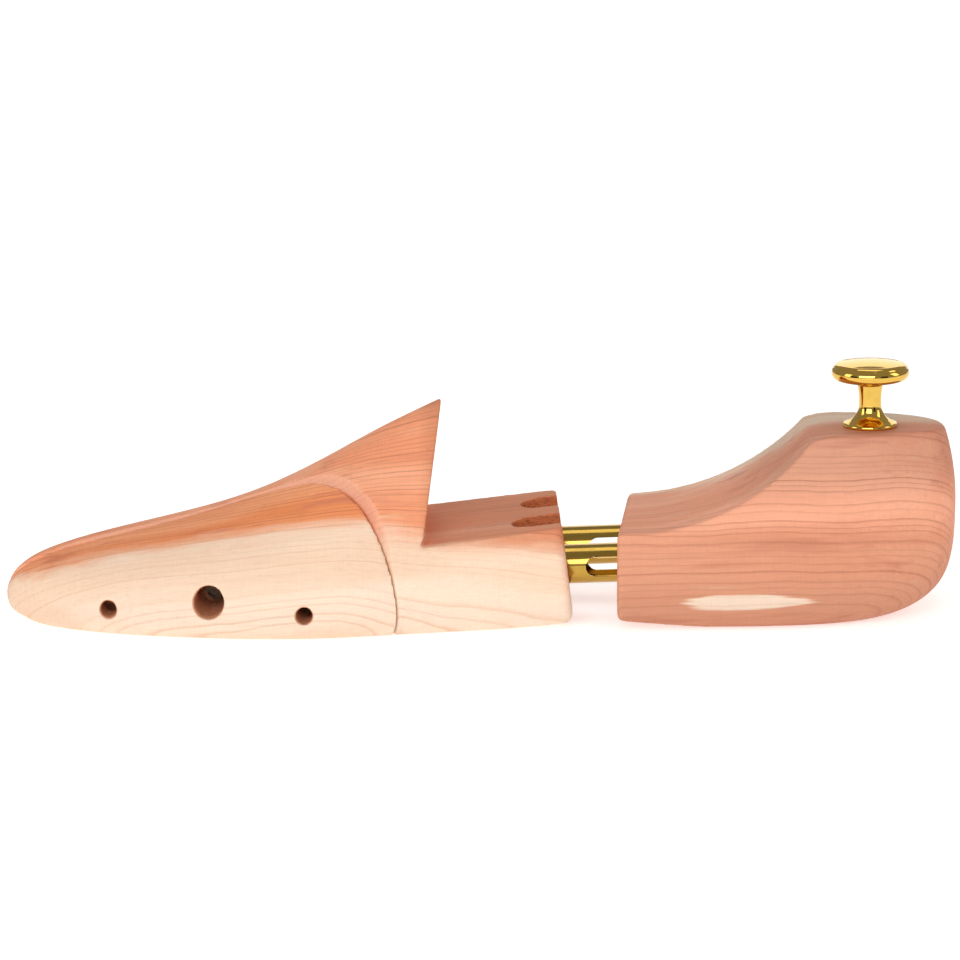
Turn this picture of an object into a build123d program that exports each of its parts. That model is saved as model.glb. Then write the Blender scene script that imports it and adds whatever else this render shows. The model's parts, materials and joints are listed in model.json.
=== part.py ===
from build123d import *
from collections import namedtuple
from math import cos, radians, sin, sqrt
import os

os.makedirs("parts", exist_ok=True)

# A cedar shoe tree: a forepart whose toe is split lengthwise and sprung apart, and a heel
# block that slides on two brass tubes and is pulled out by a turned knob.
# Millimetres. +X runs from toe to heel, +Y is the side of the fixed toe half, +Z is up.
# The origin is the middle of the footprint box, on the surface that the tree stands on.

# ------------------------------------------------------------------ driving dimensions
TOE_TIP_X = -144.8
TOE_TIP_Z = 6.6
RIDGE_Y = 5.0                  # the ridge of the forepart and the tip of the toe
SOLE_POWER = 3.5               # squareness of the sections below their widest level
TALL = 200.0                   # longer than anything that it cuts

OPENING_DEG = 4.0              # how far the movable toe half stands open at rest
KERF = 0.35                    # saw cut left between the two toe halves when closed
PIVOT_X, PIVOT_Y = -25.3, -38.3
TOE_HALF_SHORTER = 2.4         # the movable tip was sanded back by this much

SADDLE_X = -17.2               # foot of the instep's rear wall
SADDLE_Z = 25.3
INSTEP_TOP_X, INSTEP_TOP_Z = -11.6, 64.0
TAIL_HOLLOW_X, TAIL_HOLLOW_Z = 5.0, 27.9
TAIL_TOP_X, TAIL_TOP_Z = 25.0, 30.2
TAIL_X, TAIL_Z = 25.9, 14.0    # a point of the leaning rear face
TAIL_LEAN_DEG = 6.5
TAIL_TURN_DEG = 1.2
TAIL_ROUND = 3.0
SHANK_START_X = -12.0
SHANK_RISE = 2.2
SHANK_END_X = 32.0

GUIDE_DIR_DEG = 3.3            # the toe pins and holes lean this much in plan
GUIDE_PIN_R = 1.9
GUIDE_HOLE_R = 2.5
GUIDE_RELIEF_R = 4.4
FRONT_PIN_X, REAR_PIN_X, SCREW_X = -110.4, -50.6, -78.6
GUIDE_PIN_Z = 7.6
SCREW_Z = 11.0
SCREW_R = 1.5
SCREW_HEAD_R = 3.4
SCREW_HEAD_H = 2.4
SCREW_HOLE_GAP = 1.1           # room for the screw to rock in the movable half
COUNTERBORE_R = 4.55
TOE_SPRING_R, TOE_SPRING_WIRE_R = 4.4, 0.45
TOE_SPRING_PITCH = 1.75
SPRING_SEAT_GAP = 1.0

TUBE_R, TUBE_WALL = 6.0, 0.7
TUBE_X, TUBE_Y, TUBE_Z = 33.0, 0.15, 16.1    # midway between the tubes, in the gap
TUBE_SPACING = 25.7
TUBE_YAW_DEG, TUBE_TILT_DEG = 2.65, 2.0
TUBE_FRONT, TUBE_BACK = -47.0, 31.0       # along the tube, from TUBE_X
SLOT_WIDTH = 6.4
SLOT_FRONT, SLOT_BACK = -0.4, 21.6
STOP_PIN_R = 2.5
STOP_PIN_AT = 18.6
TUBE_RUNNING_GAP = 0.08
BORE_BACK = 66.0
NOTCH_R = 6.6
FAR_NOTCH_LENGTH, NEAR_NOTCH_LENGTH = 13.0, 14.8
HEEL_SPRING_R, HEEL_SPRING_WIRE_R = 5.05, 0.6
HEEL_SPRING_PITCH = 3.9
SPRING_END_GAP = 0.2

HEEL_FRONT_X = 43.4
HEEL_TURN_DEG = 4.6
HEEL_FRONT_RISE = 2.4          # the underside lifts this much at the front
HEEL_FRONT_ROUND = 2.0
HEEL_MID_X, HEEL_MID_Y = 75.0, -2.1
HEEL_HALF_WIDTH = 33.2
HEEL_START_X = 20.0            # the heel is drawn from here and cut off at its front face
HEEL_FRONT_SHIFT = 1.4         # the front of the heel lies this much further to the far side
HEEL_BACK_X = 144.8
HEEL_POWER = 2.8               # squareness of the heel's plan outline
HEEL_TOP_Z = 56.4
HEEL_BACK_DROP = 4.4           # the top falls this much towards the back
HEEL_CREST_DROP = 1.7          # and this much to the upper end of the saddle
HEEL_PAST_BACK_X = 160.0
SADDLE_ARC_X, SADDLE_ARC_Z, SADDLE_ARC_R = 45.0, 100.2, 71.0
SADDLE_ARC_MIDDLE_DEG = 26.0

KNOB_X, KNOB_Y = 118.5, -6.0
KNOB_SEAT_HALF = 10.0
STUD_R = 2.5
STUD_IN_WOOD, STUD_IN_KNOB = 20.0, 9.0


def bow(power):
    """Handle length of the quarter curve that follows a superellipse of this power."""
    return (8 * 2 ** (-1 / power) - 4) / 3


# ------------------------------------------------------------------ forepart surface
# Sections across the closed forepart: outermost Y on each side, ridge height, lowest
# point, height of the widest level, and the squareness of the section above it.
Station = namedtuple("Station", "x far near ridge low widest power")
STATIONS = [
    Station(-144.3, 9.4, 0.6, 9.4, 4.6, 6.6, 2.3),
    Station(-142.8, 13.6, -2.6, 11.6, 2.8, 6.5, 2.3),
    Station(-139.0, 19.6, -7.4, 14.7, 0.8, 6.2, 2.2),
    Station(-132.0, 26.2, -14.0, 18.0, -1.8, 5.6, 2.1),
    Station(-122.0, 31.8, -20.9, 21.2, -3.2, 5.0, 2.0),
    Station(-108.0, 37.2, -28.4, 24.7, -3.1, 4.5, 1.95),
    Station(-90.0, 41.3, -34.8, 29.0, -3.0, 4.4, 1.9),
    Station(-70.0, 43.3, -39.6, 35.1, -3.3, 4.8, 1.8),
    Station(-50.0, 43.2, -41.6, 44.4, -3.9, 5.8, 1.62),
    Station(-30.0, 40.9, -40.0, 55.4, -4.9, 7.4, 1.4),
    Station(-10.0, 37.7, -36.4, 65.1, -6.0, 9.0, 1.26),
    Station(2.0, 36.3, -34.8, 71.0, -6.5, 9.6, 1.26),
    Station(14.0, 35.0, -33.3, 77.0, -7.0, 10.0, 1.26),
    Station(26.0, 33.8, -32.0, 83.0, -7.3, 10.0, 1.26),
    Station(38.0, 32.6, -30.8, 89.0, -7.6, 10.0, 1.26),
]


def section_outline(station):
    """One closed section, drawn as four quarter curves between its extremes."""
    for side in (station.far, station.near):
        reach = side - RIDGE_Y
        for end, full in ((station.ridge, bow(station.power)), (station.low, bow(SOLE_POWER))):
            rise = end - station.widest
            Bezier(
                (side, station.widest),
                (side, station.widest + full * rise),
                (RIDGE_Y + full * reach, end),
                (RIDGE_Y, end),
            )


def forepart_surface(shortened):
    """The uncut forepart. The first stations move back where the tip is shortened."""
    faces = []
    for number, station in enumerate(STATIONS):
        moved = shortened * max(0.0, 1 - number / 5)
        with BuildSketch(Plane.YZ.offset(station.x + moved)) as face:
            with BuildLine():
                section_outline(station)
            make_face()
        faces.append(face.sketch)
    tip = Vertex(TOE_TIP_X + shortened, RIDGE_Y, TOE_TIP_Z)
    with BuildPart() as surface:
        loft(sections=[tip, *faces])
    return surface.part


def toe_cut(shift_x, shift_y):
    """Plan of the movable side of the saw cut, moved off it by a shift."""
    curve = [(-150, 4.3), (-120, 3.3), (-90, 2.3), (-70, 0.9), (-59, -3.0), (-47, -9.6),
             (-37.5, -18.6), (-30, -29.0), (PIVOT_X, PIVOT_Y + 0.3), (-21.5, -46.0)]
    moved = [(x + shift_x, y + shift_y) for x, y in curve]
    with BuildSketch() as plan:
        with BuildLine():
            cut = Spline(*moved)
            Polyline(cut @ 1, (-21.5, -70), (-150, -70), cut @ 0)
        make_face()
    return plan.sketch


def below_sole():
    """Side view of what lies under the forepart: a flat sole and a rising shank."""
    with BuildSketch(Plane.XZ) as side:
        with BuildLine():
            flat = Line((-160, 0), (SHANK_START_X, 0))
            rise = TangentArc(flat @ 1, (SHANK_END_X, SHANK_RISE), tangent=(1, 0))
            Polyline(rise @ 1, (60, SHANK_RISE), (60, -20), (-160, -20), flat @ 0)
        make_face()
    return side.sketch


def above_tail():
    """Side view of the step behind the instep: undercut wall, saw overrun, gentle hollow."""
    with BuildSketch(Plane.XZ) as side:
        with BuildLine():
            foot = (SADDLE_X, SADDLE_Z + 2.2)
            overrun = (SADDLE_X - 1.3, SADDLE_Z - 0.5)
            floor = (SADDLE_X + 2.0, SADDLE_Z)
            slope = (INSTEP_TOP_X - SADDLE_X) / (INSTEP_TOP_Z - SADDLE_Z - 2.2)
            top = (INSTEP_TOP_X + slope * 36, INSTEP_TOP_Z + 36)
            lip = (TAIL_X + 5.0, TAIL_TOP_Z + 0.9)
            hollow = ThreePointArc(floor, (TAIL_HOLLOW_X, TAIL_HOLLOW_Z), lip)
            Polyline(hollow @ 1, (60, TAIL_TOP_Z), (60, top[1]), top, foot, overrun, floor)
        make_face()
    return side.sketch


def tail_plane():
    lean, turn = radians(TAIL_LEAN_DEG), radians(TAIL_TURN_DEG)
    normal = (cos(lean) * cos(turn), cos(lean) * sin(turn), sin(lean))
    return Plane(origin=(TAIL_X, 0, TAIL_Z), z_dir=normal)


# ------------------------------------------------------------------ shared axes
YAW, TILT = radians(TUBE_YAW_DEG), radians(TUBE_TILT_DEG)
ALONG_TUBE = Vector(cos(YAW) * cos(TILT), -sin(YAW) * cos(TILT), sin(TILT))
ACROSS_TUBE = Vector(sin(YAW), cos(YAW), 0)
INTO_TOE = Vector(-sin(radians(GUIDE_DIR_DEG)), -cos(radians(GUIDE_DIR_DEG)), 0)
TUBE_ORIGINS = {
    "far": Vector(TUBE_X, TUBE_Y, TUBE_Z) + ACROSS_TUBE * TUBE_SPACING / 2,
    "near": Vector(TUBE_X, TUBE_Y, TUBE_Z) - ACROSS_TUBE * TUBE_SPACING / 2,
}


def tube_plane(side, distance):
    """A plane square to one tube, at a distance along it."""
    return Plane(origin=TUBE_ORIGINS[side] + ALONG_TUBE * distance, x_dir=ACROSS_TUBE, z_dir=ALONG_TUBE)


def rod(plane, radius, length):
    """A plain round bar that starts on a plane and runs along its normal."""
    with BuildPart() as bar:
        with BuildSketch(plane):
            Circle(radius)
        extrude(amount=length)
    return bar.part


def guide_plane(x, z, depth):
    """A plane square to the toe pins; depth runs from the saw cut into the movable half."""
    return Plane(origin=Vector(x, 0, z) + INTO_TOE * depth, z_dir=INTO_TOE)


def coil(plane, radius, wire, pitch, length):
    """An open-coiled compression spring standing on a plane."""
    with BuildPart() as spring:
        with BuildLine() as path:
            Helix(pitch, length, radius)
        with BuildSketch(Plane(origin=path.line @ 0, z_dir=path.line % 0)):
            Circle(wire)
        sweep(is_frenet=True)
    return plane.location * spring.part


# ------------------------------------------------------------------ forepart block
FRONT_PIN_DEPTHS = (-20.0, 14.0)
REAR_PIN_DEPTHS = (-18.0, 25.0)
SCREW_DEPTHS = (-24.0, 17.0)
ROCKING_PLAY = 0.8             # holes of the movable half sit this far towards the toe
SPRING_DEPTHS = (-8.0, 14.0)
BRAD_X, BRAD_Y, BRAD_Z, BRAD_R = -37.5, -18.6, 16.0, 0.6
BRAD_TURN_DEG = 232.0          # heading of the brad, square to the saw cut there
BRAD_DEPTHS = (-9.0, 9.0)
BRAD_GAP = 1.7
NAIL_AT, NAIL_R = -29.0, 1.0
NAIL_SUNK, NAIL_INSIDE_TUBE = 1.8, 2.0   # head below the sole, tip below the tube axis

BRAD_DIR = Vector(cos(radians(BRAD_TURN_DEG)), sin(radians(BRAD_TURN_DEG)), 0)


def brad_plane(depth):
    return Plane(origin=Vector(BRAD_X, BRAD_Y, BRAD_Z) + BRAD_DIR * depth, z_dir=BRAD_DIR)


with BuildPart() as forepart_block:
    add(forepart_surface(0.0))
    extrude(below_sole(), amount=TALL, both=True, mode=Mode.SUBTRACT)
    extrude(above_tail(), amount=TALL, both=True, mode=Mode.SUBTRACT)
    with BuildSketch(tail_plane()):
        Rectangle(TALL * 2, TALL * 2)
    extrude(amount=TALL, mode=Mode.SUBTRACT)
    rear = forepart_block.faces().sort_by(Axis.X)[-1]
    fillet(rear.edges().sort_by(Axis.Z)[:-1], TAIL_ROUND)
    extrude(toe_cut(0, 0), amount=TALL, both=True, mode=Mode.SUBTRACT)
    # bores for the tubes, and the round-ended notches that open them upwards
    for side, length in (("far", FAR_NOTCH_LENGTH), ("near", NEAR_NOTCH_LENGTH)):
        with BuildSketch(tube_plane(side, TUBE_FRONT)):
            Circle(TUBE_R)
        extrude(amount=TALL, mode=Mode.SUBTRACT)
        round_end = TUBE_ORIGINS[side] - ALONG_TUBE * (TUBE_X - TAIL_TOP_X + length - NOTCH_R)
        with BuildSketch(Plane.XY.offset(TUBE_Z)):
            with Locations(Location((round_end.X, round_end.Y, 0), (0, 0, -TUBE_YAW_DEG))):
                Circle(NOTCH_R)
                Rectangle(TALL, NOTCH_R * 2, align=(Align.MIN, Align.CENTER))
        extrude(amount=TALL, mode=Mode.SUBTRACT)
    # nail holes up through the sole into the tubes
    for side in TUBE_ORIGINS:
        place = TUBE_ORIGINS[side] + ALONG_TUBE * NAIL_AT
        with BuildSketch(Plane.XY):
            with Locations((place.X, place.Y)):
                Circle(NAIL_R)
        extrude(amount=place.Z, mode=Mode.SUBTRACT)
    # pressed-in ends of the toe pins, the screw and the brad, and the spring's seat
    for x, z, radius, depth in (
        (FRONT_PIN_X, GUIDE_PIN_Z, GUIDE_PIN_R, FRONT_PIN_DEPTHS[0]),
        (REAR_PIN_X, GUIDE_PIN_Z, GUIDE_PIN_R, REAR_PIN_DEPTHS[0]),
        (SCREW_X, SCREW_Z, SCREW_R, SCREW_DEPTHS[0]),
        (SCREW_X, SCREW_Z, TOE_SPRING_R + SPRING_SEAT_GAP, SPRING_DEPTHS[0]),
    ):
        with BuildSketch(guide_plane(x, z, depth)):
            Circle(radius)
        extrude(amount=TALL / 2, mode=Mode.SUBTRACT)
    with BuildSketch(brad_plane(BRAD_DEPTHS[0])):
        Circle(BRAD_R)
    extrude(amount=TALL / 2, mode=Mode.SUBTRACT)

# ------------------------------------------------------------------ movable toe half
with BuildPart() as closed_half:
    add(forepart_surface(TOE_HALF_SHORTER))
    extrude(below_sole(), amount=TALL, both=True, mode=Mode.SUBTRACT)
    extrude(toe_cut(-KERF * 0.8, -KERF), amount=TALL, both=True, mode=Mode.INTERSECT)

HINGE = Axis((PIVOT_X, PIVOT_Y, 0), (0, 0, 1))

with BuildPart() as toe_half:
    add(closed_half.part.rotate(HINGE, OPENING_DEG))
    # through holes for the two guide pins, wider and deeper where the pins need room to rock
    for x, depths in ((FRONT_PIN_X, FRONT_PIN_DEPTHS), (REAR_PIN_X, REAR_PIN_DEPTHS)):
        closing = (PIVOT_X - x) * radians(OPENING_DEG)
        for offset, radius, depth in (
            (0, GUIDE_HOLE_R, TALL),
            (ROCKING_PLAY, GUIDE_RELIEF_R, depths[1] + closing + 1.0),
        ):
            with BuildSketch(guide_plane(x - offset, GUIDE_PIN_Z, 0)):
                Circle(radius)
            extrude(amount=depth, mode=Mode.SUBTRACT)
    # the screw's counterbore and clearance hole, and the spring's pocket
    for offset, radius, depth, length in (
        (ROCKING_PLAY, COUNTERBORE_R, SCREW_DEPTHS[1], TALL),
        (ROCKING_PLAY, SCREW_R + SCREW_HOLE_GAP, 0, TALL),
        (0, TOE_SPRING_R + SPRING_SEAT_GAP, 0, SPRING_DEPTHS[1]),
    ):
        with BuildSketch(guide_plane(SCREW_X - offset, SCREW_Z, depth)):
            Circle(radius)
        extrude(amount=length, mode=Mode.SUBTRACT)
    with BuildSketch(brad_plane(0)):
        Circle(BRAD_R + BRAD_GAP)
    extrude(amount=BRAD_DEPTHS[1] + 2.0, mode=Mode.SUBTRACT)

# ------------------------------------------------------------------ toe pins, screw, spring, brad
front_guide_pin = rod(guide_plane(FRONT_PIN_X, GUIDE_PIN_Z, FRONT_PIN_DEPTHS[0]), GUIDE_PIN_R,
                      FRONT_PIN_DEPTHS[1] - FRONT_PIN_DEPTHS[0])
rear_guide_pin = rod(guide_plane(REAR_PIN_X, GUIDE_PIN_Z, REAR_PIN_DEPTHS[0]), GUIDE_PIN_R,
                     REAR_PIN_DEPTHS[1] - REAR_PIN_DEPTHS[0])
rear_brad = rod(brad_plane(BRAD_DEPTHS[0]), BRAD_R, BRAD_DEPTHS[1] - BRAD_DEPTHS[0])

with BuildPart() as toe_screw:
    with BuildSketch(guide_plane(SCREW_X, SCREW_Z, SCREW_DEPTHS[0])):
        Circle(SCREW_R)
    extrude(amount=SCREW_DEPTHS[1] - SCREW_DEPTHS[0] + 0.4)
    with BuildSketch(guide_plane(SCREW_X, SCREW_Z, SCREW_DEPTHS[1] + 0.3)):
        Circle(SCREW_HEAD_R)
    extrude(amount=SCREW_HEAD_H)

toe_spring = coil(guide_plane(SCREW_X, SCREW_Z, SPRING_DEPTHS[0] + TOE_SPRING_WIRE_R), TOE_SPRING_R,
                  TOE_SPRING_WIRE_R, TOE_SPRING_PITCH,
                  SPRING_DEPTHS[1] - SPRING_DEPTHS[0] - 2 * TOE_SPRING_WIRE_R)


# ------------------------------------------------------------------ tubes, nails, stop pin, heel springs
def tube(side):
    with BuildPart() as pipe:
        with BuildSketch(tube_plane(side, TUBE_FRONT)):
            Circle(TUBE_R)
            Circle(TUBE_R - TUBE_WALL, mode=Mode.SUBTRACT)
        extrude(amount=TUBE_BACK - TUBE_FRONT)
        middle = TUBE_ORIGINS[side] + ALONG_TUBE * (SLOT_FRONT + SLOT_BACK) / 2
        with BuildSketch(Plane(origin=middle, x_dir=ALONG_TUBE, z_dir=ACROSS_TUBE)):
            SlotOverall(SLOT_BACK - SLOT_FRONT, SLOT_WIDTH)
        extrude(amount=TUBE_R * 2, both=True, mode=Mode.SUBTRACT)
        place = TUBE_ORIGINS[side] + ALONG_TUBE * NAIL_AT
        with BuildSketch(Plane.XY):
            with Locations((place.X, place.Y)):
                Circle(NAIL_R)
        extrude(amount=place.Z, mode=Mode.SUBTRACT)
    return pipe.part


far_tube = tube("far")
near_tube = tube("near")

with BuildPart() as tube_nails:
    for side in TUBE_ORIGINS:
        place = TUBE_ORIGINS[side] + ALONG_TUBE * NAIL_AT
        with BuildSketch(Plane.XY.offset(NAIL_SUNK)):
            with Locations((place.X, place.Y)):
                Circle(NAIL_R)
        extrude(amount=place.Z - NAIL_SUNK - NAIL_INSIDE_TUBE)

STOP_PIN_CENTRE = Vector(TUBE_X, TUBE_Y, TUBE_Z) + ALONG_TUBE * STOP_PIN_AT
STOP_PIN_REACH = 21.0          # from midway between the tubes to the pin's near end
STOP_PIN_PLANE = Plane(origin=STOP_PIN_CENTRE - ACROSS_TUBE * STOP_PIN_REACH, z_dir=ACROSS_TUBE)
STOP_PIN_LENGTH = 51.5
stop_pin = rod(STOP_PIN_PLANE, STOP_PIN_R, STOP_PIN_LENGTH)


def heel_spring(side):
    start = tube_plane(side, TUBE_BACK + HEEL_SPRING_WIRE_R + SPRING_END_GAP)
    length = BORE_BACK - TUBE_BACK - 2 * (HEEL_SPRING_WIRE_R + SPRING_END_GAP)
    return coil(start, HEEL_SPRING_R, HEEL_SPRING_WIRE_R, HEEL_SPRING_PITCH, length)


far_heel_spring = heel_spring("far")
near_heel_spring = heel_spring("near")

# ------------------------------------------------------------------ heel block
# Levels of the heel: height, how far its back has come forward, and how far its sides
# have come in from the widest level.
Level = namedtuple("Level", "z back side")
HEEL_LEVELS = [
    Level(-2.0, 31.0, 9.0),
    Level(0.0, 21.0, 5.0),
    Level(3.0, 11.6, 1.4),
    Level(8.0, 5.2, 0.0),
    Level(16.0, 1.4, 0.5),
    Level(28.0, 0.1, 3.3),
    Level(38.0, 0.1, 6.2),
    Level(48.0, 1.4, 9.6),
    Level(55.0, 3.2, 12.3),
    Level(61.0, 6.5, 15.0),
]


def heel_outline(level):
    """Plan of the heel at one level: straight flanks and a full, rounded back."""
    half = HEEL_HALF_WIDTH - level.side
    back = HEEL_BACK_X - level.back
    full = bow(HEEL_POWER)
    front_y = HEEL_MID_Y + HEEL_FRONT_SHIFT
    for flank in (half, -half):
        Line((HEEL_START_X, front_y + flank), (HEEL_MID_X, HEEL_MID_Y + flank))
        Bezier(
            (HEEL_MID_X, HEEL_MID_Y + flank),
            (HEEL_MID_X + full * (back - HEEL_MID_X), HEEL_MID_Y + flank),
            (back, HEEL_MID_Y + full * flank),
            (back, HEEL_MID_Y),
        )
    Line((HEEL_START_X, front_y + half), (HEEL_START_X, front_y - half))


heel_plans = []
for level in HEEL_LEVELS:
    with BuildSketch(Plane.XY.offset(level.z)) as plan:
        with BuildLine():
            heel_outline(level)
        make_face()
    heel_plans.append(plan.sketch)

with BuildSketch(Plane.XZ) as heel_side:
    with BuildLine():
        toe_in = Line((HEEL_START_X, HEEL_FRONT_RISE * 2), (HEEL_FRONT_X * 2 - HEEL_START_X, 0))
        low = Line(toe_in @ 1, (HEEL_PAST_BACK_X, 0))
        back = Line(low @ 1, (HEEL_PAST_BACK_X, HEEL_TOP_Z - HEEL_BACK_DROP))
        seat = Line((KNOB_X - KNOB_SEAT_HALF, HEEL_TOP_Z), (KNOB_X + KNOB_SEAT_HALF, HEEL_TOP_Z))
        TangentArc(seat @ 1, back @ 1, tangent=(1, 0))
        crest_z = HEEL_TOP_Z - HEEL_CREST_DROP
        crest_x = SADDLE_ARC_X + sqrt(SADDLE_ARC_R ** 2 - (SADDLE_ARC_Z - crest_z) ** 2)
        TangentArc(seat @ 0, (crest_x, crest_z), tangent=(-1, 0))
        steep = radians(SADDLE_ARC_MIDDLE_DEG)
        saddle = ThreePointArc(
            (crest_x, crest_z),
            (SADDLE_ARC_X + SADDLE_ARC_R * sin(steep), SADDLE_ARC_Z - SADDLE_ARC_R * cos(steep)),
            (SADDLE_ARC_X, SADDLE_ARC_Z - SADDLE_ARC_R),
        )
        Polyline(saddle @ 1, (HEEL_START_X, SADDLE_ARC_Z - SADDLE_ARC_R), toe_in @ 0)
    make_face()

with BuildPart() as heel_block:
    loft(sections=heel_plans)
    extrude(heel_side.sketch, amount=TALL, both=True, mode=Mode.INTERSECT)
    turn = radians(HEEL_TURN_DEG)
    with BuildSketch(Plane(origin=(HEEL_FRONT_X, 0, 0), z_dir=(-cos(turn), sin(turn), 0))):
        Rectangle(TALL * 2, TALL * 2)
    extrude(amount=TALL, mode=Mode.SUBTRACT)
    front = heel_block.faces().sort_by(Axis.X)[0]
    fillet(front.edges(), HEEL_FRONT_ROUND)
    for side in TUBE_ORIGINS:
        with BuildSketch(tube_plane(side, 0)):
            Circle(TUBE_R + TUBE_RUNNING_GAP)
        extrude(amount=BORE_BACK, mode=Mode.SUBTRACT)
    with BuildSketch(STOP_PIN_PLANE):
        Circle(STOP_PIN_R)
    extrude(amount=TALL, mode=Mode.SUBTRACT)
    with BuildSketch(Plane.XY.offset(HEEL_TOP_Z - STUD_IN_WOOD)):
        with Locations((KNOB_X, KNOB_Y)):
            Circle(STUD_R)
    extrude(amount=TALL, mode=Mode.SUBTRACT)

# ------------------------------------------------------------------ knob and its stud
with BuildPart() as knob:
    with BuildSketch(Plane.XZ):
        with BuildLine():
            base = Line((0, 0), (7.9, 0))
            rim = ThreePointArc(base @ 1, (8.3, 0.65), (7.9, 1.3))
            flare = ThreePointArc(rim @ 1, (4.7, 3.3), (3.4, 7.4))
            neck = ThreePointArc(flare @ 1, (3.5, 10.2), (3.9, 12.8))
            throat = ThreePointArc(neck @ 1, (4.6, 13.7), (5.8, 14.0))
            under = Line(throat @ 1, (10.2, 14.5))
            edge = ThreePointArc(under @ 1, (11.8, 16.3), (11.0, 18.5))
            lip = ThreePointArc(edge @ 1, (10.4, 19.2), (9.4, 19.5))
            TangentArc((0, 20.4), lip @ 1, tangent=(1, 0))
            Line((0, 20.4), base @ 0)
        make_face()
    revolve(axis=Axis.Z)
    with BuildSketch(Plane.XY):
        Circle(STUD_R)
    extrude(amount=STUD_IN_KNOB, mode=Mode.SUBTRACT)
knob_part = Location((KNOB_X, KNOB_Y, HEEL_TOP_Z)) * knob.part
knob_stud = rod(Plane(origin=(KNOB_X, KNOB_Y, HEEL_TOP_Z - STUD_IN_WOOD)), STUD_R, STUD_IN_WOOD + STUD_IN_KNOB)

# ------------------------------------------------------------------ files
PIECES = {
    "forepart_block": forepart_block.part,
    "toe_half": toe_half.part,
    "front_guide_pin": front_guide_pin,
    "rear_guide_pin": rear_guide_pin,
    "toe_screw": toe_screw.part,
    "toe_spring": toe_spring,
    "rear_brad": rear_brad,
    "far_tube": far_tube,
    "near_tube": near_tube,
    "tube_nails": tube_nails.part,
    "far_heel_spring": far_heel_spring,
    "near_heel_spring": near_heel_spring,
    "stop_pin": stop_pin,
    "heel_block": heel_block.part,
    "knob": knob_part,
    "knob_stud": knob_stud,
}
for name, piece in PIECES.items():
    piece.label = name
    export_step(piece, f"parts/{name}.step")
everything = Compound(children=list(PIECES.values()))
print(everything.bounding_box())
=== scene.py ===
import json
import math

import bmesh
import bpy
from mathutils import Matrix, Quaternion, Vector
from mathutils.bvhtree import BVHTree


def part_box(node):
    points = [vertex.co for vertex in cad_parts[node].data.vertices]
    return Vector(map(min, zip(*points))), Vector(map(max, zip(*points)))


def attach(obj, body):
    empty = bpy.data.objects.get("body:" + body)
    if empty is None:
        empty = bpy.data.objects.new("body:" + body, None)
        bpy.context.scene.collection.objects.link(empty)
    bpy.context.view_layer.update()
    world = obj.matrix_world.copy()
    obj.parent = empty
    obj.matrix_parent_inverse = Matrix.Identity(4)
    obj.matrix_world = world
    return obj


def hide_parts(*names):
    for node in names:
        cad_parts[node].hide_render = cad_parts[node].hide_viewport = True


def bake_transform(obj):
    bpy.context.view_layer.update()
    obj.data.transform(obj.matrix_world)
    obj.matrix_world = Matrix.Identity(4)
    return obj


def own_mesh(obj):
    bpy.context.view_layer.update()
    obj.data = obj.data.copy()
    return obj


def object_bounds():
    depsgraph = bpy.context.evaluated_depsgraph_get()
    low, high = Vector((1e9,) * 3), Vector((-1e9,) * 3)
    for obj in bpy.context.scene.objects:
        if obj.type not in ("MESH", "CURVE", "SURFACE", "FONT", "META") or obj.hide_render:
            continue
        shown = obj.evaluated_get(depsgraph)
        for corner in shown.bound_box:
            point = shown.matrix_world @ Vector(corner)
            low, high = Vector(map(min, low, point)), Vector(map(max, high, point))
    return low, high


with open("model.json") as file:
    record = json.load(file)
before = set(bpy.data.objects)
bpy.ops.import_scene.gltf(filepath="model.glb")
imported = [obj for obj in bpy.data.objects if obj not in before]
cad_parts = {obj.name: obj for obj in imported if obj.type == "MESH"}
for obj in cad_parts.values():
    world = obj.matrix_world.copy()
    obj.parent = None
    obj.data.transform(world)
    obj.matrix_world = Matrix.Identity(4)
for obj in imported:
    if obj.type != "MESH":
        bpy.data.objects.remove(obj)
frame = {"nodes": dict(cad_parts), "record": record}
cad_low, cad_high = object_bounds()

MM = 0.001

# ---------------------------------------------------------------- places from the frame
LOW, HIGH = Vector(cad_low), Vector(cad_high)
LENGTH = HIGH.x - LOW.x
JOINTS = {joint["name"]: joint for joint in frame["record"]["behaviour"]["joints"]}
SLIDE = Vector(JOINTS["heel_slide"]["axis"]).normalized()
body_of = {node: body for body, nodes in frame["record"]["behaviour"]["bodies"].items() for node in nodes}
TUBE_AXIS = Vector((-SLIDE.x, -SLIDE.y, 0)).normalized()
ACROSS_TUBES = Vector((-TUBE_AXIS.y, TUBE_AXIS.x, 0))
GUIDE_LEAN = math.radians(3.3)      # the toe's pins and screw lean this much in plan
GUIDE_AXIS = Vector((-math.sin(GUIDE_LEAN), -math.cos(GUIDE_LEAN), 0))


def corners(node):
    """The lower and upper corner of a node's box."""
    low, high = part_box(node)
    return Vector(low), Vector(high)


def middle_mm(node):
    """The middle of a node's box, in the millimetres that the textures use."""
    low, high = corners(node)
    return (low + high) / 2 / MM


def srgb(red, green, blue):
    """A linear colour from 0-255 display values."""
    def linear(value):
        value /= 255
        return value / 12.92 if value <= 0.04045 else ((value + 0.055) / 1.055) ** 2.4
    return (linear(red), linear(green), linear(blue), 1.0)


def scaled_tint(tint, share):
    return tuple(channel * share for channel in tint[:3]) + (1.0,)


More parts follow.
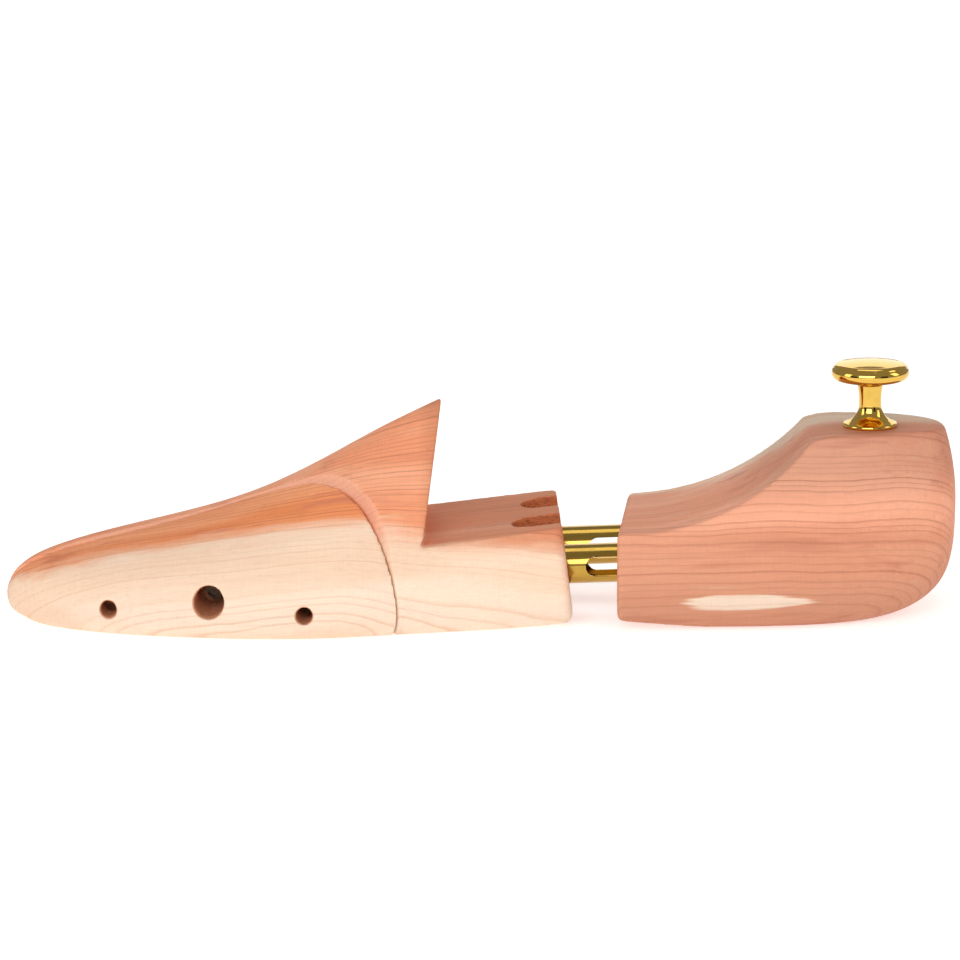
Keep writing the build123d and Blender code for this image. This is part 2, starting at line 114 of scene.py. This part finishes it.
# ---------------------------------------------------------------- material building
class Graph:
    """A small helper that adds nodes to one material and wires them. Its places are in millimetres."""

    def __init__(self, name):
        self.material = bpy.data.materials.new(name)
        self.material.use_nodes = True
        self.tree = self.material.node_tree
        self.tree.nodes.clear()
        self.shader = self.add("ShaderNodeBsdfPrincipled")
        output = self.add("ShaderNodeOutputMaterial")
        self.tree.links.new(self.shader.outputs[0], output.inputs[0])
        coordinates = self.add("ShaderNodeTexCoord")
        self.place = self.vector("SCALE", coordinates.outputs["Object"])
        self.place.node.inputs["Scale"].default_value = 1 / MM

    def add(self, kind, **settings):
        node = self.tree.nodes.new(kind)
        for key, value in settings.items():
            setattr(node, key, value)
        return node

    def feed(self, socket, value):
        if isinstance(value, bpy.types.NodeSocket):
            self.tree.links.new(value, socket)
        else:
            socket.default_value = value

    def math(self, operation, first, second=0.0, third=None):
        node = self.add("ShaderNodeMath", operation=operation)
        self.feed(node.inputs[0], first)
        self.feed(node.inputs[1], second)
        if third is not None:
            self.feed(node.inputs[2], third)
        return node.outputs[0]

    def product(self, first, *others):
        for other in others:
            first = self.math("MULTIPLY", first, other)
        return first

    def centred(self, noise, width):
        """Noise from 0 to 1, moved to lie about zero and given a width."""
        return self.math("MULTIPLY_ADD", noise, width, -width / 2)

    def vector(self, operation, first, second=None):
        node = self.add("ShaderNodeVectorMath", operation=operation)
        self.feed(node.inputs[0], first)
        if second is not None:
            self.feed(node.inputs[1], second)
        return node.outputs["Value"] if operation in ("DOT_PRODUCT", "LENGTH") else node.outputs["Vector"]

    def stretched(self, factors):
        """The place with each axis scaled by its own factor."""
        return self.vector("MULTIPLY", self.place, Vector(factors))

    def arrow(self, direction, length):
        """A fixed direction, made as long as a computed length."""
        node = self.add("ShaderNodeVectorMath", operation="SCALE")
        node.inputs[0].default_value = direction
        self.tree.links.new(length, node.inputs["Scale"])
        return node.outputs["Vector"]

    def axis(self, letter):
        node = self.add("ShaderNodeSeparateXYZ")
        self.feed(node.inputs[0], self.place)
        return node.outputs[letter]

    def noise(self, where, scale, detail=2.0, rough=0.5, dimensions="3D"):
        node = self.add("ShaderNodeTexNoise", noise_dimensions=dimensions)
        self.feed(node.inputs["W" if dimensions == "1D" else "Vector"], where)
        node.inputs["Scale"].default_value = scale
        node.inputs["Detail"].default_value = detail
        node.inputs["Roughness"].default_value = rough
        return node.outputs["Fac"]

    def span(self, value, low, high, to_low=0.0, to_high=1.0, smooth=True):
        node = self.add("ShaderNodeMapRange", interpolation_type="SMOOTHSTEP" if smooth else "LINEAR")
        self.feed(node.inputs["Value"], value)
        for key, number in (("From Min", low), ("From Max", high), ("To Min", to_low), ("To Max", to_high)):
            self.feed(node.inputs[key], number)
        return node.outputs["Result"]

    def mix(self, factor, first, second, blend="MIX"):
        node = self.add("ShaderNodeMix", data_type="RGBA", blend_type=blend)
        self.feed(node.inputs["Factor"], factor)
        self.feed(node.inputs[6], first)
        self.feed(node.inputs[7], second)
        return node.outputs[2]

    def toned(self, colour, tone):
        """A colour times one number."""
        grey = self.add("ShaderNodeCombineColor")
        for channel in grey.inputs:
            self.tree.links.new(tone, channel)
        return self.mix(1.0, colour, grey.outputs[0], blend="MULTIPLY")

    def bump(self, height, strength, distance):
        node = self.add("ShaderNodeBump")
        node.inputs["Strength"].default_value = strength
        node.inputs["Distance"].default_value = distance
        self.feed(node.inputs["Height"], height)
        self.feed(self.shader.inputs["Normal"], node.outputs["Normal"])

    def set(self, **values):
        for key, value in values.items():
            self.feed(self.shader.inputs[key.replace("_", " ")], value)


# ---------------------------------------------------------------- cedar, in millimetres
FOREPART_PITH, FOREPART_GRAIN = (-20.0, 62.0, 95.0), (0.996, -0.07, 0.05)
HEEL_PITH, HEEL_GRAIN = (80.0, -60.0, -30.0), (0.998, 0.02, 0.02)
FOREPART_HEART_RADIUS, TOE_HEART_RADIUS, HEEL_HEART_RADIUS = 114.0, 111.0, 104.0
FOREPART_RING_WIDTH, HEEL_RING_WIDTH, SAP_RING_WIDTH = 1.7, 2.2, 3.2
OLD_WOOD_AND_SHADE_RADIUS = 66.0              # the heartwood near the pith is browner: partly real, partly painted shade, as the pith lies high on the forepart's far side and low on the heel's near side
GRAIN_SQUEEZE = 0.06
FOREPART_SEED, HEEL_SEED = 0.0, 37.0

# each set: the lighter and the darker heartwood, and its purplish bands
ORANGE = (srgb(254, 184, 147), srgb(247, 161, 119), srgb(221, 140, 110))
TAN = (srgb(248, 168, 122), srgb(238, 143, 90), srgb(216, 128, 94))
ROSE = (srgb(250, 180, 147), srgb(242, 163, 130), srgb(225, 149, 122))
PALE_BAND = srgb(246, 200, 162)
SAP_LIGHT, SAP_DARK = srgb(253, 227, 203), srgb(250, 214, 185)
HEART_LINE, SAP_LINE = srgb(168, 84, 54), srgb(232, 180, 146)
OLD_WOOD_AND_SHADE, TAIL_WOOD_AND_SHADE = srgb(178, 112, 78), srgb(152, 88, 54)
TORN_LIGHT, TORN_DARK = srgb(218, 122, 76), srgb(158, 78, 46)
DRILLED_LIGHT, DRILLED_DARK = srgb(232, 172, 134), srgb(200, 134, 96)
# a painted highlight: the eased upper arris of the saw cut is coloured lighter
CUT_EDGE_HIGHLIGHT = srgb(250, 190, 162)
LINE_SHARE, OLD_WOOD_AND_SHADE_SHARE, TAIL_WOOD_AND_SHADE_SHARE, CUT_EDGE_HIGHLIGHT_SHARE = 0.54, 0.4, 0.32, 0.6

TAIL_FADE = (-20.0, -12.0)          # the tail's darker wood begins here, along X; it is partly real, partly painted shade of the instep
NOTCH_RADIUS = 6.6
NOTCH_ENDS = {"far_tube": -6.4, "near_tube": -8.2}   # along the tube, from its middle
GUIDE_HOLES = {"front_guide_pin": 2.5, "rear_guide_pin": 2.5, "toe_screw": 4.55}
LENS_CENTRE, LENS_SIZE = (81.0, -36.0, 8.6), (21.0, 14.0, 2.8)

# painted shade: the wood is darker towards the sole; the height where that ends, and the tone at the sole
FOREPART_SOLE_SHADE, HEEL_SOLE_SHADE = (16.0, 0.82), (22.0, 0.72)
HEEL_TOP_SHADE = (32.0, 48.0, 0.75)     # painted shade towards the heel's top as well: from, to, and the tone there


def ring_lines(graph, radius, heart_radius, ring_width, seed):
    """Latewood lines. They are closer together in the heartwood than in the sapwood."""
    uneven = graph.noise(graph.math("ADD", radius, seed), 0.11, 1.0, dimensions="1D")
    outer = graph.math("MAXIMUM", graph.math("SUBTRACT", radius, heart_radius), 0.0)
    fewer = graph.math("MULTIPLY", outer, 1 / ring_width - 1 / SAP_RING_WIDTH)
    count = graph.math("SUBTRACT", graph.math("DIVIDE", radius, ring_width), fewer)
    count = graph.math("ADD", count, graph.math("MULTIPLY", uneven, 2.6))
    phase = graph.math("FRACT", count)
    rise = graph.span(phase, 0.45, 0.93)
    fall = graph.span(phase, 0.95, 1.0, 1.0, 0.0)
    own_tone = graph.add("ShaderNodeTexWhiteNoise", noise_dimensions="1D")
    graph.feed(own_tone.inputs["W"], graph.math("FLOOR", count))
    strength = graph.span(own_tone.outputs["Value"], 0.0, 1.0, 0.2, 1.0, smooth=False)
    return graph.product(graph.math("POWER", rise, 3.0), fall, strength)


def lens_of_sap(graph, sapwood, streaks):
    """A pale lens of sapwood that the heel's near side cuts through."""
    away = graph.vector("SUBTRACT", graph.place, Vector(LENS_CENTRE))
    away = graph.vector("DIVIDE", away, Vector(LENS_SIZE))
    inside = graph.math("ADD", graph.vector("LENGTH", away), graph.centred(streaks, 1.3))
    return graph.math("MAXIMUM", sapwood, graph.span(inside, 0.98, 0.72))


def torn_notch(graph, colour, tube, end):
    """Raw, torn end grain in the round-ended notch over one tube."""
    away = graph.vector("SUBTRACT", graph.place, middle_mm(tube))
    lengthways = graph.math("SUBTRACT", graph.vector("DOT_PRODUCT", away, TUBE_AXIS), end)
    lengthways = graph.math("MINIMUM", lengthways, 0.0)
    sideways = graph.vector("DOT_PRODUCT", away, ACROSS_TUBES)
    squares = graph.math("ADD", graph.product(lengthways, lengthways), graph.product(sideways, sideways))
    torn = graph.noise(graph.stretched((0.45, 1.4, 1.4)), 1.0, 3.0, 0.6)
    ragged = graph.math("ADD", graph.math("SQRT", squares), graph.centred(torn, 1.0))
    raw = graph.mix(graph.span(torn, 0.45, 0.68), TORN_LIGHT, TORN_DARK)
    return graph.mix(graph.span(ragged, NOTCH_RADIUS + 0.5, NOTCH_RADIUS + 0.2), colour, raw)


def drilled_hole(graph, colour, fibres, pin, radius):
    """Darker wood on the wall of one of the toe's drilled holes."""
    away = graph.vector("SUBTRACT", graph.place, middle_mm(pin))
    axial = graph.arrow(GUIDE_AXIS, graph.vector("DOT_PRODUCT", away, GUIDE_AXIS))
    reach = graph.vector("LENGTH", graph.vector("SUBTRACT", away, axial))
    drilled = graph.mix(graph.span(fibres, 0.35, 0.65), DRILLED_LIGHT, DRILLED_DARK)
    return graph.mix(graph.span(reach, radius + 0.5, radius + 0.15), colour, drilled)


def cedar(name, pith, grain, heart_radius, ring_width, seed, tones, sole_shade,
          top_shade=None, has_lens=False, is_forepart=False, is_toe=False):
    """Sanded aromatic cedar as a solid texture, with growth rings about a pith line."""
    graph = Graph(name)
    grain = Vector(grain).normalized()
    offset = graph.vector("SUBTRACT", graph.place, Vector(pith))
    along = graph.vector("DOT_PRODUCT", offset, grain)
    radial = graph.vector("SUBTRACT", offset, graph.arrow(grain, along))
    # places squeezed along the grain, so that noise becomes fibres and streaks
    squeezed = graph.arrow(grain, graph.math("MULTIPLY", along, GRAIN_SQUEEZE))
    fibre_place = graph.vector("ADD", graph.vector("ADD", radial, squeezed), Vector((seed, 0, 0)))
    broad = graph.noise(fibre_place, 0.05, 3.0, 0.55)
    bands = graph.noise(fibre_place, 0.16, 3.0, 0.6)
    streaks = graph.noise(fibre_place, 0.35, 3.0, 0.6)
    fibres = graph.noise(fibre_place, 1.6, 3.0, 0.6)

    # growth rings
    wobble = graph.centred(graph.noise(offset, 0.014, 1.0), 8.0)
    ripple = graph.centred(graph.noise(offset, 0.07, 2.0), 1.2)
    radius = graph.math("ADD", graph.vector("LENGTH", radial), graph.math("ADD", wobble, ripple))
    latewood = ring_lines(graph, radius, heart_radius, ring_width, seed)

    # heartwood, sapwood, and the ragged edge between them
    heart = graph.mix(graph.span(broad, 0.38, 0.62), tones[0], tones[1])
    heart = graph.mix(graph.span(bands, 0.56, 0.74), heart, tones[2])
    heart = graph.mix(graph.span(bands, 0.36, 0.22), heart, PALE_BAND)
    sap = graph.mix(graph.span(broad, 0.4, 0.65), SAP_LIGHT, SAP_DARK)
    edge = graph.math("ADD", radius, graph.centred(graph.noise(fibre_place, 0.09, 3.0), 14.0))
    edge = graph.math("ADD", edge, graph.centred(streaks, 9.0))
    sapwood = graph.span(edge, heart_radius - 6.0, heart_radius + 4.5)
    if has_lens:
        sapwood = lens_of_sap(graph, sapwood, streaks)
    heartwood = graph.math("SUBTRACT", 1.0, sapwood)
    line = graph.mix(sapwood, HEART_LINE, SAP_LINE)
    colour = graph.mix(graph.math("MULTIPLY", latewood, LINE_SHARE), graph.mix(sapwood, heart, sap), line)
    # heartwood near the pith is mixed towards brown: partly its real colour, partly painted shade
    near_pith_shade = graph.span(edge, OLD_WOOD_AND_SHADE_RADIUS + 8.0, OLD_WOOD_AND_SHADE_RADIUS - 8.0)
    colour = graph.mix(graph.product(near_pith_shade, heartwood, OLD_WOOD_AND_SHADE_SHARE), colour, OLD_WOOD_AND_SHADE)

    if is_forepart:
        for tube, end in NOTCH_ENDS.items():
            colour = torn_notch(graph, colour, tube, end)
        # behind the instep the heartwood is darker: partly its own colour, partly painted shade that the
        # instep casts on the tail
        behind = graph.span(graph.axis("X"), *TAIL_FADE)
        colour = graph.mix(graph.product(behind, heartwood, TAIL_WOOD_AND_SHADE_SHARE), colour, TAIL_WOOD_AND_SHADE)
        # the eased arris is painted lighter: a painted highlight
        eased = graph.add("ShaderNodeAttribute", attribute_name="cut_edge_highlight")
        colour = graph.mix(graph.product(eased.outputs["Fac"], heartwood, CUT_EDGE_HIGHLIGHT_SHARE), colour, CUT_EDGE_HIGHLIGHT)
    if is_toe:
        for pin, hole_radius in GUIDE_HOLES.items():
            colour = drilled_hole(graph, colour, fibres, pin, hole_radius)

    # fibres, faint cross scratches from sanding, fine dark specks, and painted shade towards the sole
    scratches = graph.noise(graph.stretched((2.2, 0.12, 0.12)), 1.4, 2.0, 0.65)
    specks = graph.noise(graph.stretched((0.5, 1.0, 1.0)), 1.1, 1.0)
    sole_shade_height, sole_shade_tone = sole_shade
    tone = graph.product(
        graph.span(fibres, 0.3, 0.7, 0.95, 1.04, smooth=False),
        graph.span(scratches, 0.35, 0.65, 0.975, 1.015, smooth=False),
        graph.span(specks, 0.70, 0.76, 1.0, 0.93),
        graph.span(graph.axis("Z"), 0.0, sole_shade_height, sole_shade_tone, 1.0),
    )
    # the heel also gets painted shade towards its top
    if top_shade is not None:
        top_shade_low, top_shade_high, top_shade_tone = top_shade
        tone = graph.product(tone, graph.span(graph.axis("Z"), top_shade_low, top_shade_high, 1.0, top_shade_tone))

    roughness = graph.span(graph.math("ADD", fibres, latewood), 0.2, 1.6, 0.66, 0.5, smooth=False)
    graph.set(Base_Color=graph.toned(colour, tone), Roughness=roughness, Specular_IOR_Level=0.2)
    height = graph.math("ADD", graph.math("MULTIPLY", fibres, 0.5), graph.math("MULTIPLY", scratches, 0.35))
    height = graph.math("ADD", height, graph.math("MULTIPLY", latewood, 0.5))
    graph.bump(height, 0.35, 0.08 * MM)
    return graph.material


# ---------------------------------------------------------------- metals
def brass(name, tint, low_rough, high_rough, stretch):
    """Bright brass with faint polishing lines, smudges and slightly darker tarnish."""
    graph = Graph(name)
    lines = graph.noise(graph.stretched(stretch), 1.0, 3.0, 0.6)
    smudge = graph.noise(graph.place, 0.22, 3.0, 0.6)
    rough = graph.span(graph.math("MULTIPLY", lines, smudge), 0.12, 0.42, low_rough, high_rough)
    tarnish = graph.span(smudge, 0.5, 0.8, 0.0, 0.45)
    graph.set(Base_Color=graph.mix(tarnish, tint, scaled_tint(tint, 0.72)), Metallic=1.0, Roughness=rough)
    graph.bump(lines, 0.06, 0.02 * MM)
    return graph.material


def dark_metal(name, tint, rough):
    """Oiled dark steel wire, a little uneven."""
    graph = Graph(name)
    grime = graph.noise(graph.place, 0.9, 4.0, 0.6)
    colour = graph.mix(graph.span(grime, 0.35, 0.7), tint, scaled_tint(tint, 2.4))
    graph.set(Base_Color=colour, Metallic=0.85, Roughness=graph.span(grime, 0.3, 0.7, rough, rough + 0.2))
    graph.bump(grime, 0.2, 0.05 * MM)
    return graph.material


cedar_forepart = cedar("cedar_forepart", FOREPART_PITH, FOREPART_GRAIN, FOREPART_HEART_RADIUS,
                       FOREPART_RING_WIDTH, FOREPART_SEED, ORANGE, FOREPART_SOLE_SHADE, is_forepart=True)
cedar_toe = cedar("cedar_toe", FOREPART_PITH, FOREPART_GRAIN, TOE_HEART_RADIUS,
                  FOREPART_RING_WIDTH, FOREPART_SEED, TAN, FOREPART_SOLE_SHADE, is_toe=True)
cedar_heel = cedar("cedar_heel", HEEL_PITH, HEEL_GRAIN, HEEL_HEART_RADIUS,
                   HEEL_RING_WIDTH, HEEL_SEED, ROSE, HEEL_SOLE_SHADE, top_shade=HEEL_TOP_SHADE, has_lens=True)
# the tubes' brass is tinted darker than the knob's: painted shade that stands in for the dark surroundings
# the tubes reflect
tube_brass = brass("tube_brass", srgb(188, 152, 70), 0.09, 0.20, (0.15, 2.5, 2.5))
knob_brass = brass("knob_brass", srgb(226, 184, 88), 0.04, 0.11, (0.8, 0.8, 2.5))
dark_steel = dark_metal("dark_steel", (0.035, 0.028, 0.024, 1.0), 0.38)
screw_steel = dark_metal("screw_steel", (0.075, 0.058, 0.042, 1.0), 0.22)
spring_steel = dark_metal("spring_steel", (0.02, 0.02, 0.02, 1.0), 0.32)


# ---------------------------------------------------------------- pieces
VOXEL = 0.6 * MM
RELAX_PASSES = 4
TOE_CUT_END, TOE_CUT_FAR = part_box("toe_half")[1][0], 7.5 * MM
CUT_WALL_SLOPE, SKIN_SLOPE = 0.02, 0.05      # how much a face of the cut or of the skin looks up
EASE_WIDTH = 2.2 * MM
EASE_LOW, EASE_HIGH = 14 * MM, 32 * MM       # the eased arris grows from nothing to full width


def wear(piece, material):
    """Give a piece its material, with smooth shading."""
    piece.data.materials.clear()
    piece.data.materials.append(material)
    for face in piece.data.polygons:
        face.use_smooth = True


def copy_of(node, name):
    """A free mesh copy of a CAD node, in place."""
    source = frame["nodes"][node]
    piece = bpy.data.objects.new(name, source.data.copy())
    bpy.context.scene.collection.objects.link(piece)
    return piece


def bake_modifiers(piece):
    bpy.context.view_layer.update()
    shaped = piece.evaluated_get(bpy.context.evaluated_depsgraph_get())
    mesh = bpy.data.meshes.new_from_object(shaped)
    piece.modifiers.clear()
    piece.data = mesh


def near_cut(point):
    return point.x <= TOE_CUT_END and point.y <= TOE_CUT_FAR


def ease_cut(piece, node):
    """Break the upper arris of the saw cut, and mark it in a point attribute that the forepart's cedar
    reads to paint a lighter strip, a painted highlight.
    """
    source = frame["nodes"][node].data
    points = [vertex.co for vertex in source.vertices]
    wall, skin = [], []
    for face in source.polygons:
        if not near_cut(face.center):
            continue
        if abs(face.normal.z) < CUT_WALL_SLOPE and face.normal.y < 0:
            wall.append(tuple(face.vertices))
        elif face.normal.z > SKIN_SLOPE:
            skin.append(tuple(face.vertices))
    wall_tree = BVHTree.FromPolygons(points, wall)
    skin_tree = BVHTree.FromPolygons(points, skin)
    eased = piece.data.attributes.new("cut_edge_highlight", "FLOAT", "POINT")
    for vertex in piece.data.vertices:
        if not near_cut(vertex.co) or vertex.co.z < EASE_LOW:
            continue
        leg = EASE_WIDTH * min(1.0, (vertex.co.z - EASE_LOW) / (EASE_HIGH - EASE_LOW))
        on_wall, wall_normal, _, from_wall = wall_tree.find_nearest(vertex.co, leg)
        on_skin, skin_normal, _, from_skin = skin_tree.find_nearest(vertex.co, leg)
        if on_wall is None or on_skin is None or from_wall + from_skin >= leg:
            continue
        inward = -(wall_normal + skin_normal).normalized()
        vertex.co += inward * (leg - from_wall - from_skin) / math.sqrt(2)
        eased.data[vertex.index].value = 1.0


def coil_of(node):
    """A free copy of a coil spring, which stands in for its CAD node."""
    piece = copy_of(node, node + "_coil")
    wear(piece, spring_steel)
    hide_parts(node)
    return piece


def eased_wood(node, material):
    """The block as sanded: every arris eased by remeshing finely and relaxing the skin."""
    piece = copy_of(node, node + "_wood")
    remesh = piece.modifiers.new("remesh", "REMESH")
    remesh.mode = "VOXEL"
    remesh.voxel_size = VOXEL
    relax = piece.modifiers.new("relax", "SMOOTH")
    relax.factor = 0.5
    relax.iterations = RELAX_PASSES
    bake_modifiers(piece)
    if node == "forepart_block":
        ease_cut(piece, node)
    wear(piece, material)
    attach(piece, body_of[node])
    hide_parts(node)


eased_wood("forepart_block", cedar_forepart)
eased_wood("toe_half", cedar_toe)
eased_wood("heel_block", cedar_heel)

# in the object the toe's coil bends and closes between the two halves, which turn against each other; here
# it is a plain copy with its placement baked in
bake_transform(coil_of("toe_spring"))

# in the object the heel's coils close up along the slide; here they are plain copies that ride with the
# heel's body, each with a mesh of its own
for node in ("far_heel_spring", "near_heel_spring"):
    heel_coil = coil_of(node)
    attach(heel_coil, body_of["heel_block"])
    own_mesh(heel_coil)

# the other pieces are the CAD nodes themselves
for node, material in (
    ("front_guide_pin", dark_steel),
    ("rear_guide_pin", dark_steel),
    ("toe_screw", screw_steel),
    ("rear_brad", dark_steel),
    ("tube_nails", dark_steel),
    ("stop_pin", dark_steel),
    ("knob_stud", dark_steel),
    ("far_tube", tube_brass),
    ("near_tube", tube_brass),
    ("knob", knob_brass),
):
    for material_slot in frame["nodes"][node].material_slots:
        material_slot.material = material


# ---------------------------------------------------------------- stage, light, camera
WHITE, WARM = (1.0, 1.0, 1.0), (1.0, 0.95, 0.86)
FLOOR_RADIUS, FLOOR_DROP = 8.0, 0.6 * MM     # metres; the floor lies just under the sole
FLOOR_GLOW = 0.55
WORLD_COLOUR, WORLD_STRENGTH = (1.0, 0.98, 0.95, 1.0), 0.32


def face_towards(thing, place, aim):
    """Put a lamp or a card at a place, facing the aim."""
    thing.location = place
    thing.rotation_mode = "QUATERNION"
    thing.rotation_quaternion = (Vector(aim) - Vector(place)).to_track_quat("-Z", "Y")
    bpy.context.scene.collection.objects.link(thing)


def object_from(name, shape, material):
    mesh = bpy.data.meshes.new(name)
    shape.to_mesh(mesh)
    shape.free()
    mesh.materials.append(material)
    return bpy.data.objects.new(name, mesh)


def floor():
    graph = Graph("floor_paper")
    graph.set(Base_Color=(0.9, 0.9, 0.9, 1.0), Roughness=0.9, Specular_IOR_Level=0.1)
    graph.set(Emission_Color=(1.0, 1.0, 1.0, 1.0), Emission_Strength=FLOOR_GLOW)
    shape = bmesh.new()
    bmesh.ops.create_circle(shape, cap_ends=True, segments=96, radius=FLOOR_RADIUS)
    disc = object_from("floor", shape, graph.material)
    disc.location = (0, 0, LOW.z - FLOOR_DROP)
    bpy.context.scene.collection.objects.link(disc)


def softbox(name, place, aim, width, height, power, colour=WHITE):
    lamp = bpy.data.lights.new(name, "AREA")
    lamp.shape = "RECTANGLE"
    lamp.size, lamp.size_y = width, height
    lamp.energy = power
    lamp.color = colour
    face_towards(bpy.data.objects.new(name, lamp), place, aim)


def flag(name, place, aim, width, height):
    """A black card out of the picture, which the polished brass reflects."""
    graph = Graph(name + "_card")
    graph.set(Base_Color=(0.02, 0.018, 0.015, 1.0), Roughness=0.9)
    shape = bmesh.new()
    bmesh.ops.create_grid(shape, x_segments=1, y_segments=1, size=0.5)
    bmesh.ops.scale(shape, vec=(width, height, 1.0), verts=shape.verts)
    card = object_from(name, shape, graph.material)
    face_towards(card, place, aim)


floor()
flag("left_flag", (-1.9, -1.5, 0.5), (0, 0, 0.05), 0.9, 1.0)
flag("right_flag", (1.5, -1.7, 0.5), (0, 0, 0.05), 0.8, 1.0)
softbox("front_box", (-0.3, -1.6, 0.75), (0, 0, 0.03), 1.4, 0.8, 15.0)
softbox("top_box", (0.1, 0.2, 1.5), (0, 0, 0), 0.9, 0.6, 2.5)
softbox("left_box", (-1.5, -0.4, 0.7), (0, 0, 0.02), 0.6, 0.9, 4.0)
softbox("back_box", (0.3, 1.9, 0.6), (0.1, 0, 0.07), 1.6, 0.9, 5.0, WARM)
softbox("right_box", (1.5, -0.2, 0.8), (0, 0, 0.02), 0.5, 0.9, 3.0)

world = bpy.data.worlds.new("studio")
world.use_nodes = True
background = world.node_tree.nodes["Background"]
background.inputs["Color"].default_value = WORLD_COLOUR
background.inputs["Strength"].default_value = WORLD_STRENGTH
bpy.context.scene.world = world
bpy.context.scene.view_settings.view_transform = "Standard"

CAMERA_DISTANCE = 1.8
CAMERA_ELEVATION = math.radians(12.0)
CAMERA_ROLL = math.radians(0.55)     # the photo's side view stands a little askew
FRAME_WIDTH = LENGTH * 1.011
AIM_SHARE = 0.515                    # the camera aims at this share of the height
SENSOR_WIDTH = 36.0
camera_data = bpy.data.cameras.new("camera")
camera_data.sensor_width = SENSOR_WIDTH
camera_data.lens = SENSOR_WIDTH * CAMERA_DISTANCE / FRAME_WIDTH
camera_data.clip_end = 50
camera = bpy.data.objects.new("camera", camera_data)
bpy.context.scene.collection.objects.link(camera)
aim = Vector(((LOW.x + HIGH.x) / 2, 0, HIGH.z * AIM_SHARE))
back = Vector((0, -math.cos(CAMERA_ELEVATION), math.sin(CAMERA_ELEVATION)))
camera.location = aim + back * CAMERA_DISTANCE
camera.rotation_mode = "QUATERNION"
camera.rotation_quaternion = (-back).to_track_quat("-Z", "Y") @ Quaternion((0, 0, 1), -CAMERA_ROLL)
bpy.context.scene.camera = camera
